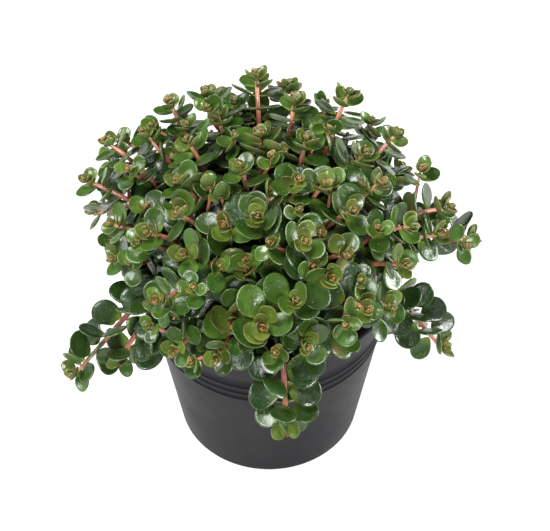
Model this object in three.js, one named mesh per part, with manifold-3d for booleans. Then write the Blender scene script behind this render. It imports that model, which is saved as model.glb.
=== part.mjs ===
// A trailing sedum in a ribbed plastic nursery pot. Millimetres, +Z up, origin at the centre of the
// pot's underside. The pot and the soil are turned shapes. Each shoot is one piece, as it grew: a stem
// rooted in the soil, pairs of round fleshy leaves and a bud at its tip.
import * as THREE from "three";
import { mergeVertices } from "three/addons/utils/BufferGeometryUtils.js";
import Module from "manifold-3d";

const wasm = await Module();
wasm.setup();

// ---------- driving dimensions ----------
const pot = {
  topDiameter: 120,
  baseDiameter: 91,
  height: 104,
  wall: 1.6,
  floor: 2.2,
  lip: 1.2, // how far the rolled lip stands out
  bandHeight: 18, // smooth band under the lip
  bandStep: 0.7, // how far the band stands out from the wall below
  ribs: 3,
  ribDrop: 25, // from the rim to the first rib
  ribPitch: 5.1,
  ribWidth: 1.5,
  ribHeight: 0.5,
  footWidth: 5, // flat ring that the pot stands on
  centreDiameter: 36, // flat disc in the middle of the underside
  underside: 2.2, // how far the underside is raised between ring and disc
  drainHoles: 6,
  drainDiameter: 8,
  segments: 28,
};
const soil = {
  belowRim: 8, // from the rim to the soil at the wall
  crown: 3, // how much higher the middle is
  socketDepth: 5, // how deep a stem is planted
};
const clearance = 0.35; // between pieces that touch

const stem = {
  baseRadius: 1.5,
  tipRadius: 0.9,
  sides: 4,
  rings: 8,
  rootReach: 0.5, // where a stem is rooted, as a share of its tip's distance from the axis
  rootMost: 38, // and the farthest that it may be rooted from the axis
  rootRim: 58.4, // the rim's inner radius that both are for; they widen and narrow with the rim
  rootScatter: 0.07, // radians that its root may lie to either side of its tip
  rise: 0.36, // how far it heads straight up, as a share of root to tip
  straightEnd: 0.3, // how far it holds its tip's slope, as the same share
  rootFromWall: 12.4, // where a hanging stem is rooted
  rimPass: 30, // how high over the rim a hanging stem aims before it turns down
  longestDrop: 0.75, // how far a hanging stem may hold its tip's slope, as a share of root to tip
};
const leaf = {
  thickness: 1.5,
  youngThickness: 0.55, // thickness of the youngest, as a share of a full leaf's
  widthShare: 0.9, // blade width over leaf length
  bladeCentre: 0.57, // along the leaf, as a share of its length
  footTaper: 0.3, // how much narrower the half next to the foot is
  outlineSides: 6,
  youngest: 0.56, // size of the pair next to the bud, as a share of a full leaf
  pairsToGrow: 3, // pairs from the bud to a full leaf
  sizeCurve: 0.8, // powers of the way to full growth: size, and opening out
  openingCurve: 0.7,
  youngAngle: 40, // degrees that a young pair stands above square to the stem
  oldAngle: 4,
  firstGap: 3.6, // from the stem's tip to the first pair
  youngGap: 0.45, // gap below the youngest pair, as a share of the gap between full-grown ones
  bareRoot: 0.05, // share of the stem that stays bare
  footDepth: 0.8, // how deep a leaf's foot is set in its stem, as a share of the stem's radius
};
const scatter = { turn: 14, lift: 0.14, length: 0.1, width: 0.07 }; // degrees, radians and shares
const facing = {
  tips: 0.65, // how much the youngest leaves of a shoot turn with its tip to the light
  light: [0, -0.12, 1],
  outward: 0.45, // how much a shoot's leaves also face away from the axis
  most: 0.7, // how far a blade turns to the light, less on a stem that itself points at it
  lessAlong: 0.55,
  least: 0.2,
};
const bud = { length: 7.5, width: 6.5 }; // the closed rosette of the youngest leaves

// Each shoot: azimuth of its tip in degrees (0 is +X, 90 is +Y), distance of the tip from the axis,
// height of the tip over the rim, upward slope of the tip in degrees, pairs of leaves, length of a
// full leaf, distance between full-grown pairs, and the turn of the first pair about the stem in
// degrees. For a hanging shoot the distance is counted from the rim.
const standing = [
  // crown, from the middle outwards
  [188, 12, 65, 80, 5, 15, 5.5, 20],
  [316, 18, 67, 72, 5, 16, 6, 60],
  [45, 24, 64, 75, 4, 16, 5.5, 10],
  [100, 22, 61, 80, 4, 21, 5, 40],
  [262, 30, 62, 62, 4, 19, 5.5, 75],
  [184, 40, 57, 52, 4, 17, 5.5, 30],
  [121, 46, 59, 58, 5, 15, 5.5, 0],
  [75, 46, 63, 62, 4, 17, 5.5, 50],
  [49, 56, 69, 50, 6, 16, 7.5, 15],
  [20, 46, 56, 45, 4, 18, 5.5, 70],
  [358, 50, 55, 46, 5, 16, 6.5, 35],
  [330, 42, 56, 42, 4, 18, 5.5, 5],
  [292, 42, 56, 45, 4, 18, 5.5, 40],
  [236, 33, 54, 50, 4, 21, 5.5, 85],
  [228, 54, 49, 36, 4, 17, 5.5, 25],
  [205, 58, 46, 30, 4, 17, 5.5, 55],
  [208, 44, 54, 46, 4, 18, 5.5, 10],
  [255, 58, 22, -6, 4, 27, 8, 0],
  [340, 26, 61, 60, 4, 17, 5.5, 25],
  [310, 52, 48, 34, 4, 18, 6, 70],
  [150, 42, 59, 55, 4, 16, 5.5, 65],
  // shoulder
  [95, 67, 59, 56, 5, 16, 6.5, 20],
  [117, 64, 57, 42, 4, 16, 6, 65],
  [133, 68, 57, 48, 5, 15, 5.5, 30],
  [150, 66, 53, 40, 4, 15, 6, 0],
  [162, 78, 56, 30, 5, 14, 6.5, 45],
  [168, 86, 37, 16, 5, 15, 7.5, 20],
  [180, 72, 26, 6, 4, 17, 6, 70],
  [228, 72, 34, 8, 5, 15, 5.5, 15],
  [238, 78, 13, -8, 4, 14, 5.5, 50],
  [252, 72, 12, -14, 4, 16, 6, 20],
  [268, 66, 31, 14, 4, 23, 6, 60],
  [284, 70, 20, 16, 5, 17, 5.5, 30],
  [298, 58, 46, 30, 4, 19, 5.5, 34],
  [306, 72, 34, 16, 5, 16, 5.5, 45],
  [320, 70, 20, 4, 4, 17, 5.5, 20],
  [332, 68, 33, 8, 4, 17, 6, 75],
  [344, 66, 43, 8, 6, 17, 8, 10],
  [355, 78, 26, 2, 4, 17, 6, 55],
  [3, 83, 32, -8, 7, 16, 6.2, 30],
  [36, 74, 42, 24, 4, 16, 6, 60],
  [62, 82, 42, 24, 5, 16, 6, 10],
  [84, 86, 36, 14, 5, 16, 6, 46],
  [106, 88, 30, 8, 4, 16, 6, 80],
  [144, 86, 33, 12, 5, 16, 6, 35],
  [188, 72, 13, -12, 4, 16, 6, 5],
  [273, 36, 44, 34, 4, 19, 5.5, 20],
];
const hanging = [
  [203, 40, -36, -46, 7, 16.5, 6.2, 15],
  [209, 21, -27, -56, 5, 16, 6, 50],
  [276, 16, -29, -84, 7, 16, 5.8, 20],
  [341, 27, -29, -50, 6, 16, 6, 40],
  [9, 38, 0, -34, 8, 16, 6, 0],
  [44, 30, 0, -30, 4, 17, 6.5, 70],
  [68, 24, -14, -48, 5, 16, 7, 25],
  [94, 32, 2, -28, 4, 16, 6.5, 60],
  [122, 30, -10, -40, 5, 17, 7, 15],
  [156, 34, -6, -36, 5, 16, 7, 45],
];

const potRadiusAt = (z) =>
  pot.baseDiameter / 2 + ((pot.topDiameter - pot.baseDiameter) / 2) * (z / pot.height);
const rimInner = potRadiusAt(pot.height) - pot.wall;
const soilTop = pot.height - soil.belowRim;
const floorTop = pot.underside + pot.floor;
const shoots = [
  ...standing.map(([azimuth, reach, height, ...rest]) => ({ reach, azimuth, height, rest })),
  ...hanging.map(([azimuth, reach, height, ...rest]) => ({
    reach: pot.topDiameter / 2 + reach,
    azimuth,
    height,
    rest,
    hangs: true,
  })),
].map(({ azimuth, reach, height, rest, hangs = false }) => {
  const [slope, pairs, full, gap, roll] = rest;
  return { azimuth, reach, height: pot.height + height, slope, pairs, full, gap, roll, hangs };
});

// ---------- solids ----------
const vector = (x, y, z) => new THREE.Vector3(x, y, z);
const radians = THREE.MathUtils.degToRad;

function toSolid(geometry) {
  const bare = geometry.index ? geometry.toNonIndexed() : geometry;
  bare.deleteAttribute("normal");
  bare.deleteAttribute("uv");
  const merged = mergeVertices(bare, 1e-3);
  return new wasm.Manifold(
    new wasm.Mesh({
      numProp: 3,
      vertProperties: merged.attributes.position.array,
      triVerts: new Uint32Array(merged.index.array),
    }),
  );
}

function toGeometry(solid) {
  const mesh = solid.getMesh();
  const geometry = new THREE.BufferGeometry();
  geometry.setAttribute("position", new THREE.BufferAttribute(mesh.vertProperties, 3));
  geometry.setIndex(new THREE.BufferAttribute(mesh.triVerts, 1));
  return geometry;
}

const joined = (solids) => solids.reduce((all, one) => all.add(one));

// A profile of [radius, height] points turned about +Z.
function turned(profile, segments) {
  const points = profile.map(([r, z]) => new THREE.Vector2(r, z));
  return new THREE.LatheGeometry(points, segments).rotateX(Math.PI / 2);
}

// ---------- pot ----------
function potSolid() {
  const bandFoot = pot.height - pot.bandHeight;
  const foot = pot.baseDiameter / 2 - pot.footWidth;
  const centre = pot.centreDiameter / 2;
  const outside = [
    [foot, 0],
    [potRadiusAt(0) - 1, 0],
    [potRadiusAt(1), 1],
  ];
  for (let rib = pot.ribs - 1; rib >= 0; rib--) {
    const z = pot.height - pot.ribDrop - rib * pot.ribPitch;
    outside.push([potRadiusAt(z - pot.ribWidth / 2), z - pot.ribWidth / 2]);
    outside.push([potRadiusAt(z) + pot.ribHeight, z]);
    outside.push([potRadiusAt(z + pot.ribWidth / 2), z + pot.ribWidth / 2]);
  }
  outside.push([potRadiusAt(bandFoot), bandFoot]);
  outside.push([potRadiusAt(bandFoot) + pot.bandStep, bandFoot + pot.bandStep]);
  outside.push([potRadiusAt(pot.height) + pot.bandStep, pot.height - 2.4 * pot.lip]);
  outside.push([potRadiusAt(pot.height) + pot.bandStep + pot.lip, pot.height - 1.2 * pot.lip]);
  outside.push([potRadiusAt(pot.height) + pot.lip / 2, pot.height]);
  const inside = [
    [rimInner, pot.height],
    [potRadiusAt(floorTop) - pot.wall, floorTop],
  ];
  const below = [
    [0, floorTop],
    [0, 0],
    [centre, 0],
    [centre + pot.underside, pot.underside],
    [foot - pot.underside, pot.underside],
    [foot, 0],
  ];
  let solid = toSolid(turned([...outside, ...inside, ...below], pot.segments));
  const ringRadius = (centre + foot) / 2;
  for (let n = 0; n < pot.drainHoles; n++) {
    const turn = ((n + 0.5) / pot.drainHoles) * 2 * Math.PI;
    const hole = new THREE.CylinderGeometry(
      pot.drainDiameter / 2,
      pot.drainDiameter / 2,
      4 * pot.floor,
      10,
    )
      .rotateX(Math.PI / 2)
      .translate(ringRadius * Math.cos(turn), ringRadius * Math.sin(turn), floorTop);
    solid = solid.subtract(toSolid(hole));
  }
  return solid;
}

function soilSolid() {
  const bottom = floorTop + clearance;
  const at = (z) => potRadiusAt(z) - pot.wall - clearance;
  const profile = [
    [0, bottom],
    [at(bottom), bottom],
    [at(soilTop), soilTop],
    [at(soilTop) / 2, soilTop + soil.crown * 0.75],
    [0, soilTop + soil.crown],
  ];
  return toSolid(turned(profile, pot.segments));
}

// ---------- how a shoot grows ----------
const light = vector(...facing.light).normalize();

// Repeatable unevenness from -1 to 1 for the nth draw.
function uneven(n) {
  const s = Math.sin(n * 12.9898 + 78.233) * 43758.5453;
  return 2 * (s - Math.floor(s)) - 1;
}

function stemCurve({ azimuth, reach, height, slope, hangs }, n) {
  const turn = radians(azimuth);
  const out = vector(Math.cos(turn), Math.sin(turn), 0);
  const rootTurn = turn + (hangs ? 0 : stem.rootScatter) * uneven(n + 0.3);
  const rootRadius = hangs
    ? rimInner - stem.rootFromWall
    : (Math.min(stem.rootReach * reach, stem.rootMost) * rimInner) / stem.rootRim;
  const root = vector(
    rootRadius * Math.cos(rootTurn),
    rootRadius * Math.sin(rootTurn),
    soilTop - soil.socketDepth,
  );
  const tip = out.clone().multiplyScalar(reach).setZ(height);
  const heading = out
    .clone()
    .multiplyScalar(Math.cos(radians(slope)))
    .setZ(Math.sin(radians(slope)));
  const span = tip.distanceTo(root);
  if (!hangs) {
    const first = root.clone().add(vector(0, 0, stem.rise * span));
    const second = tip.clone().addScaledVector(heading, -stem.straightEnd * span);
    return new THREE.CubicBezierCurve3(root, first, second, tip);
  }
  const crest = pot.height + stem.rimPass;
  const drop = Math.min((crest - height) / Math.sin(radians(-slope)), stem.longestDrop * span);
  const second = tip.clone().addScaledVector(heading, -drop);
  return new THREE.CubicBezierCurve3(root, root.clone().setZ(crest), second, tip);
}

// The leaves of one shoot, from the bud down, before they make room for each other.
function leavesOf({ azimuth, pairs, full, gap, roll }, n, curve) {
  const total = curve.getLength();
  const outward = vector(Math.cos(radians(azimuth)), Math.sin(radians(azimuth)), 0);
  const sun = light.clone().addScaledVector(outward, facing.outward).normalize();
  const leaves = [];
  let back = leaf.firstGap;
  for (let pair = 0; pair < pairs; pair++) {
    const age = Math.min(pair / leaf.pairsToGrow, 1);
    const size = full * (leaf.youngest + (1 - leaf.youngest) * Math.pow(age, leaf.sizeCurve));
    const opened = Math.pow(age, leaf.openingCurve);
    const angle = radians(leaf.youngAngle + (leaf.oldAngle - leaf.youngAngle) * opened);
    const share = 1 - back / total;
    if (share < leaf.bareRoot) break;
    const middle = curve.getPointAt(share);
    const radius = stem.baseRadius + (stem.tipRadius - stem.baseRadius) * share;
    const along = curve
      .getTangentAt(share)
      .lerp(sun, facing.tips * (1 - age))
      .normalize();
    const side = vector(0, 0, 1).cross(along);
    if (side.length() < 0.2) side.set(-outward.y, outward.x, 0);
    side.normalize();
    const across = along.clone().cross(side);
    for (let half = 0; half < 2; half++) {
      const draw = n * 40 + pair * 2 + half;
      const turn = radians(roll + 90 * pair + 180 * half + scatter.turn * uneven(draw));
      const lift = angle + scatter.lift * uneven(draw + 0.5);
      const flat = side
        .clone()
        .multiplyScalar(Math.cos(turn))
        .addScaledVector(across, Math.sin(turn));
      const d = flat
        .clone()
        .multiplyScalar(Math.cos(lift))
        .addScaledVector(along, Math.sin(lift));
      const up = along
        .clone()
        .multiplyScalar(Math.cos(lift))
        .addScaledVector(flat, -Math.sin(lift));
      const lit = sun.clone().addScaledVector(d, -sun.dot(d)).normalize();
      const turned = facing.most - facing.lessAlong * along.dot(sun);
      const bend = Math.min(Math.max(turned, facing.least), 1);
      const normal = up.multiplyScalar(1 - bend).addScaledVector(lit, bend);
      normal.addScaledVector(d, -normal.dot(d)).normalize();
      const length = size * (1 + scatter.length * uneven(draw + 0.7));
      leaves.push({
        shoot: n,
        pair,
        age,
        origin: middle.clone().addScaledVector(flat, radius * (1 - leaf.footDepth)),
        d,
        normal,
        length,
        width: length * leaf.widthShare * (1 + scatter.width * uneven(draw + 0.9)),
        thickness: leaf.thickness * (leaf.youngThickness + (1 - leaf.youngThickness) * age),
        restD: d.clone(),
        restNormal: normal.clone(),
      });
    }
    back += gap * (leaf.youngGap + (1 - leaf.youngGap) * age);
  }
  return leaves.filter(
    ({ origin }) =>
      Math.hypot(origin.x, origin.y) > rimInner + room.besideRim ||
      origin.z > pot.height + room.overRim,
  );
}

// ---------- leaves make room ----------
const room = {
  steps: 70,
  gap: 0.55, // free space kept between two leaves
  share: 0.6, // how much of a push is taken in one step
  most: 0.12, // radians that a leaf may turn in one step
  recall: 0.015, // how strongly a leaf keeps its first direction
  spill: 0.4, // overlap that makes the older leaf drop off
  stemSpill: 1.2, // and the same against a stem
  cut: 0.005, // and the same between finished solids, as a volume
  rim: 1.06, // how much larger than its blade a leaf counts
  shortest: 2, // least lever arm of a push on a leaf
  stemReach: 1.2, // how near a stem is looked at, in leaf lengths
  ownStem: 0.4, // how much of the leaf's own stem is let be, in leaf lengths
  stemShare: 0.5, // how much of a push from a stem is taken
  stemPoints: 24, // points looked at on each stem, but for the lowest ones
  buried: 6,
  besideRim: 3, // how far outside the rim a low leaf's foot is, and how far over it any other
  overRim: 4,
};
const probes = [
  [1, 0],
  [0.9, 0.6],
  [0.9, -0.6],
  [0.62, 1],
  [0.62, -1],
  [0.36, 0.8],
  [0.36, -0.8],
  [0.78, 0],
  [0.55, 0],
  [0.34, 0],
];

function probePoints(l) {
  const w = l.normal.clone().cross(l.d);
  return probes.map(([s, t]) =>
    l.origin
      .clone()
      .addScaledVector(l.d, s * l.length)
      .addScaledVector(w, (t * l.width) / 2),
  );
}

// A frame in which a point's place over the blade is read: u along, v across, h above.
function bladeFrame(l) {
  return {
    centre: l.origin.clone().addScaledVector(l.d, leaf.bladeCentre * l.length),
    w: l.normal.clone().cross(l.d),
    a: (1 - leaf.bladeCentre) * l.length * room.rim,
    b: (l.width / 2) * room.rim,
  };
}

function overBlade(point, l, frame) {
  const from = point.clone().sub(frame.centre);
  const u = from.dot(l.d) / frame.a;
  const v = from.dot(frame.w) / frame.b;
  return { u, v, h: from.dot(l.normal), inside: u * u + v * v < 1 };
}

// A push on a leaf at a point, as a turn about the leaf's own foot.
function pushed(l, point, push) {
  const arm = point.clone().sub(l.origin);
  return arm.clone().cross(push).divideScalar(Math.max(arm.lengthSq(), room.shortest ** 2));
}

function potPush(point, foot, margin) {
  const r = Math.hypot(point.x, point.y);
  const top = pot.height + margin;
  if (point.z > top) return null;
  const wall = potRadiusAt(point.z) + pot.bandStep + pot.lip + margin;
  const footOutside = Math.hypot(foot.x, foot.y) > rimInner;
  if (footOutside && r < wall)
    return vector(point.x / r, point.y / r, 0).multiplyScalar(wall - r);
  if (!footOutside && r > rimInner - margin) return vector(0, 0, top - point.z);
  if (!footOutside && point.z < soilTop + soil.crown + margin)
    return vector(0, 0, soilTop + soil.crown + margin - point.z);
  return null;
}

function neighbourPairs(leaves) {
  const pairs = [];
  for (let i = 0; i < leaves.length; i++)
    for (let j = i + 1; j < leaves.length; j++) {
      const [a, b] = [leaves[i], leaves[j]];
      if (a.shoot === b.shoot && a.pair === b.pair) continue;
      if (a.origin.distanceTo(b.origin) < a.length + b.length) pairs.push([i, j]);
    }
  return pairs;
}

// Every push between two leaves: calls hit(leaf, point, push, depth) for both.
function leafContacts(leaves, pairs, points, frames, hit) {
  for (const [i, j] of pairs)
    for (const [a, b] of [
      [i, j],
      [j, i],
    ]) {
      const [la, lb] = [leaves[a], leaves[b]];
      const need = (la.thickness + lb.thickness) / 2 + room.gap;
      const middle = overBlade(frames[a].centre, lb, frames[b]);
      const side = middle.h < 0 ? -1 : 1;
      for (const point of points[a]) {
        const at = overBlade(point, lb, frames[b]);
        const depth = need - side * at.h;
        if (!at.inside || depth <= 0) continue;
        const push = lb.normal.clone().multiplyScalar((side * depth) / 2);
        hit(a, point, push, depth);
        hit(b, point, push.clone().negate(), depth);
      }
    }
}

function stemContacts(leaves, stems, frames, hit) {
  leaves.forEach((l, i) => {
    const need = l.thickness / 2 + stem.baseRadius + room.gap;
    for (const { shoot, point } of stems) {
      const away = point.distanceTo(l.origin) / l.length;
      if (away > room.stemReach || (shoot === l.shoot && away < room.ownStem)) continue;
      const at = overBlade(point, l, frames[i]);
      if (!at.inside || Math.abs(at.h) > need) continue;
      const depth = (1 - Math.hypot(at.u, at.v)) * frames[i].b;
      const swing = (at.v < 0 ? 1 : -1) * (depth + stem.baseRadius) * room.stemShare;
      hit(i, point, frames[i].w.clone().multiplyScalar(swing), depth);
    }
  });
}

function potContacts(leaves, points, hit) {
  leaves.forEach((l, i) => {
    for (const point of points[i]) {
      const push = potPush(point, l.origin, l.thickness / 2 + room.gap);
      if (push) hit(i, point, push, push.length());
    }
  });
}

function contacts(leaves, pairs, stems, hit) {
  const points = leaves.map(probePoints);
  const frames = leaves.map(bladeFrame);
  leafContacts(leaves, pairs, points, frames, hit);
  stemContacts(leaves, stems, frames, hit);
  potContacts(leaves, points, hit);
}

function turnLeaf(l, turn) {
  const angle = turn.length();
  if (angle < 1e-9) return;
  const axis = turn.clone().divideScalar(angle);
  l.d.applyAxisAngle(axis, Math.min(angle, room.most)).normalize();
  l.normal.applyAxisAngle(axis, Math.min(angle, room.most));
  l.normal.addScaledVector(l.d, -l.normal.dot(l.d)).normalize();
}

function makeRoom(leaves, stems) {
  const pairs = neighbourPairs(leaves);
  for (let step = 0; step < room.steps; step++) {
    const turns = leaves.map(() => vector(0, 0, 0));
    const counts = leaves.map(() => 0);
    contacts(leaves, pairs, stems, (i, point, push) => {
      turns[i].add(pushed(leaves[i], point, push));
      counts[i] += 1;
    });
    leaves.forEach((l, i) => {
      if (counts[i]) turns[i].multiplyScalar((room.share * 2) / Math.sqrt(counts[i]));
      turns[i].addScaledVector(l.d.clone().cross(l.restD), room.recall);
      turns[i].addScaledVector(l.normal.clone().cross(l.restNormal), room.recall);
      turnLeaf(l, turns[i]);
    });
  }
}

// Leaves that still cross a neighbour drop off, the older one first.
function shed(leaves, stems) {
  const dropped = new Set();
  const pairs = neighbourPairs(leaves);
  const points = leaves.map(probePoints);
  const frames = leaves.map(bladeFrame);
  const crossing = [];
  for (const [i, j] of pairs) {
    if (leaves[i].shoot === leaves[j].shoot) continue;
    let worst = 0;
    leafContacts(leaves, [[i, j]], points, frames, (a, p, q, depth) => {
      worst = Math.max(worst, depth - room.gap);
    });
    if (worst > room.spill) crossing.push([i, j]);
  }
  stemContacts(leaves, stems, frames, (i, p, q, depth) => {
    if (depth > room.stemSpill) dropped.add(i);
  });
  potContacts(leaves, points, (i, p, q, depth) => {
    if (depth > room.spill + room.gap) dropped.add(i);
  });
  for (const [i, j] of crossing)
    if (!dropped.has(i) && !dropped.has(j))
      dropped.add(leaves[i].pair >= leaves[j].pair ? i : j);
  return leaves.filter((l, i) => !dropped.has(i));
}

// ---------- shoot solids ----------
// With grow, the same stem thicker and deeper by that much, which leaves its socket in the soil.
function stemSolid(curve, grow = 0) {
  const points = curve.getSpacedPoints(stem.rings);
  const ring = new THREE.CylinderGeometry(1, 1, 1, stem.sides, stem.rings).rotateX(Math.PI / 2);
  const place = ring.attributes.position;
  for (let i = 0; i < place.count; i++) {
    const share = place.getZ(i) + 0.5;
    const along = curve.getTangentAt(share);
    const side = vector(0, 0, 1).cross(along);
    if (side.length() < 1e-6) side.set(1, 0, 0);
    side.normalize();
    const across = along.clone().cross(side);
    const radius = stem.baseRadius + (stem.tipRadius - stem.baseRadius) * share + grow * Math.SQRT2;
    const at = points[Math.round(share * stem.rings)]
      .clone()
      .addScaledVector(along, share === 0 ? -grow : 0)
      .addScaledVector(side, radius * place.getX(i))
      .addScaledVector(across, radius * place.getY(i));
    place.setXYZ(i, at.x, at.y, at.z);
  }
  return toSolid(ring);
}

// The blade's outline: a round blade on a short narrow foot. cosine runs from 1 at the tip to -1 at
// the foot, and sine from -1 to 1 across.
function outlinePoint(cosine, sine) {
  const foot = Math.max(-cosine, 0);
  const along = leaf.bladeCentre + (1 - leaf.bladeCentre) * cosine;
  const pulled = along - (2 * leaf.bladeCentre - 1) * Math.pow(foot, 8);
  return [pulled, 0.5 * sine * (1 - leaf.footTaper * foot)];
}

function leafSolid(l) {
  const lens = new THREE.SphereGeometry(1, leaf.outlineSides, 2);
  const place = lens.attributes.position;
  const w = l.normal.clone().cross(l.d);
  for (let i = 0; i < place.count; i++) {
    const [x, y, z] = [place.getX(i), place.getY(i), place.getZ(i)];
    const [along, across] = outlinePoint(x, z);
    const at = l.origin
      .clone()
      .addScaledVector(l.d, along * l.length)
      .addScaledVector(w, -across * l.width)
      .addScaledVector(l.normal, (y * l.thickness) / 2);
    place.setXYZ(i, at.x, at.y, at.z);
  }
  return toSolid(lens);
}

function budSolid(curve) {
  const tip = curve.getPointAt(1);
  const turn = new THREE.Quaternion().setFromUnitVectors(vector(0, 1, 0), curve.getTangentAt(1));
  const shape = new THREE.SphereGeometry(bud.width / 2, 6, 2)
    .scale(1, bud.length / bud.width, 1)
    .applyQuaternion(turn)
    .translate(tip.x, tip.y, tip.z);
  return toSolid(shape);
}

// A leaf whose finished blade still cuts another shoot drops off too, the older one first.
function shedCuts(leaves, curves) {
  const dropped = new Set();
  const cuts = (a, b) => a.intersect(b).volume() > room.cut;
  const blades = leaves.map(leafSolid);
  curves.forEach((curve, n) => {
    const bare = joined([stemSolid(curve), budSolid(curve)]);
    leaves.forEach((l, i) => {
      if (l.shoot !== n && cuts(blades[i], bare)) dropped.add(i);
    });
  });
  for (const [i, j] of neighbourPairs(leaves))
    if (leaves[i].shoot !== leaves[j].shoot && !dropped.has(i) && !dropped.has(j))
      if (cuts(blades[i], blades[j])) dropped.add(leaves[i].pair >= leaves[j].pair ? i : j);
  return leaves.filter((l, i) => !dropped.has(i));
}

// ---------- the plant ----------
const curves = shoots.map(stemCurve);
const stems = curves.flatMap((curve, shoot) =>
  curve
    .getSpacedPoints(room.stemPoints)
    .slice(room.buried)
    .map((point) => ({ shoot, point })),
);
const budding = shoots.flatMap((shoot, n) => leavesOf(shoot, n, curves[n]));
makeRoom(budding, stems);
const leaves = shedCuts(shed(budding, stems), curves);

const group = new THREE.Group();
const add = (name, solid, colour, roughness) => {
  const material = new THREE.MeshStandardMaterial({ color: colour, roughness, metalness: 0 });
  const mesh = new THREE.Mesh(toGeometry(solid), material);
  mesh.name = name;
  group.add(mesh);
};

const sockets = joined(curves.map((curve) => stemSolid(curve, clearance)));
add("pot", potSolid(), 0x3c3c42, 0.5);
add("soil", soilSolid().subtract(sockets), 0x2b1f18, 0.95);
curves.forEach((curve, n) => {
  const own = leaves.filter((l) => l.shoot === n).map(leafSolid);
  const solid = joined([stemSolid(curve), budSolid(curve), ...own]);
  add(`shoot_${String(n + 1).padStart(2, "0")}`, solid, 0x2f6b2a, 0.35);
});

export default group;
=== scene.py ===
import math
import random

import bmesh
import bpy
import numpy as np
from mathutils import Matrix, Vector, noise


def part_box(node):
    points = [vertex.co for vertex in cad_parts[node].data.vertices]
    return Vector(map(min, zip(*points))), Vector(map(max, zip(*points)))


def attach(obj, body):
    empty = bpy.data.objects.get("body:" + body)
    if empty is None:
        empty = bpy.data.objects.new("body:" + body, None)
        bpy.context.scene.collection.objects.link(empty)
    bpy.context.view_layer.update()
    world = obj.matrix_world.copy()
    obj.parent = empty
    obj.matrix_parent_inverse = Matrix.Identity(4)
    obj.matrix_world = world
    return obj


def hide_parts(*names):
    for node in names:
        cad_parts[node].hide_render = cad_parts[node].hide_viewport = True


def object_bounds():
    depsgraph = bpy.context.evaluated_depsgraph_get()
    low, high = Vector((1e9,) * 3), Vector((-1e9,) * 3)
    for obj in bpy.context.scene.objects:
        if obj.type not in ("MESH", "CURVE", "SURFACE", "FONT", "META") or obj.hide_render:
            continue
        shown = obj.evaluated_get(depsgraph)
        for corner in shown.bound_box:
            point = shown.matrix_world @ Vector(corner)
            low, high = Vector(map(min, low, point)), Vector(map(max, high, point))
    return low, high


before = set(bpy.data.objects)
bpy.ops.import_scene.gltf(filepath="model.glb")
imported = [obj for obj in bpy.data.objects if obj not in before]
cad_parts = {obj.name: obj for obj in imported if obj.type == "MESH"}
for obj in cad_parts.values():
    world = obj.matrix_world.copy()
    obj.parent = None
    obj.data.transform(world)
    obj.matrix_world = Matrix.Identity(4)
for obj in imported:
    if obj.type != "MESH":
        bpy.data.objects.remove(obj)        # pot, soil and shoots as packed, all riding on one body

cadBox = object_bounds()
mm = 0.001  # the growing is worked out in millimetres, the meshes are in metres
up = np.array([0.0, 0.0, 1.0])
scene = bpy.context.scene

# the studio: where the camera and the lamps stand, and how bright it is

cameraSet = {"aimX": 3, "aimHeight": 102.5, "elevation": 47.5, "distance": 757, "lens": 104.7}
studio = {
    "floorSize": 6.0,
    "floorColour": (0.3, 0.3, 0.3, 1),
    "floorGlow": 0.75,
    "sky": (1.0, 1.0, 1.0, 1),
    "skyStrength": 0.06,
    "lamps": {  # place, size and power of each soft box, in metres and watts
        "softboxTop": {"at": (-0.3, -0.12, 1.05), "size": 0.4, "power": 14},
        "softboxFront": {"at": (0.1, -0.95, 0.7), "size": 0.3, "power": 13},
        "softboxLeft": {"at": (-0.95, 0.0, 0.6), "size": 0.45, "power": 11},
        "softboxRight": {"at": (1.0, 0.2, 0.4), "size": 0.5, "power": 22},
    },
}


def link(thing):
    scene.collection.objects.link(thing)
    return thing


def placeCamera():
    data = bpy.data.cameras.new("camera")
    data.lens = cameraSet["lens"]
    data.sensor_width = 36
    data.clip_start = 0.01
    camera = link(bpy.data.objects.new("camera", data))
    tilt = math.radians(cameraSet["elevation"])
    aim = Vector((cameraSet["aimX"], 0, cameraSet["aimHeight"])) * mm
    back = Vector((0, -math.cos(tilt), math.sin(tilt)))
    camera.location = aim + back * cameraSet["distance"] * mm
    camera.rotation_euler = (math.pi / 2 - tilt, 0, 0)
    scene.camera = camera


def placeLamps():
    aim = Vector((0, 0, 0.1))
    for name, lamp in studio["lamps"].items():
        data = bpy.data.lights.new(name, "AREA")
        data.shape = "SQUARE"
        data.size = lamp["size"]
        data.energy = lamp["power"]
        light = link(bpy.data.objects.new(name, data))
        light.location = lamp["at"]
        light.rotation_euler = (aim - light.location).to_track_quat("-Z", "Y").to_euler()
    world = bpy.data.worlds.new("studioSky")
    world.use_nodes = True
    sky = world.node_tree.nodes["Background"]
    setInputs(sky, {"Color": studio["sky"], "Strength": studio["skyStrength"]})
    scene.world = world
    scene.view_settings.view_transform = "Standard"


# material building blocks


def startMaterial(name):
    material = bpy.data.materials.new(name)
    material.use_nodes = True
    tree = material.node_tree
    return material, tree, tree.nodes["Principled BSDF"]


def setInputs(node, values):
    for name, value in values.items():
        node.inputs[name].default_value = value


def feed(tree, socket, value):
    if isinstance(value, bpy.types.NodeSocket):
        tree.links.new(value, socket)
    else:
        socket.default_value = value


def blendColour(tree, share, first, second, how="MIX"):
    made = tree.nodes.new("ShaderNodeMix")
    made.data_type = "RGBA"
    made.blend_type = how
    feed(tree, made.inputs["Factor"], share)
    feed(tree, made.inputs["A"], first)
    feed(tree, made.inputs["B"], second)
    return made.outputs["Result"]


def reckon(tree, how, first, second):
    made = tree.nodes.new("ShaderNodeMath")
    made.operation = how
    feed(tree, made.inputs[0], first)
    feed(tree, made.inputs[1], second)
    return made.outputs[0]


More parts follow.
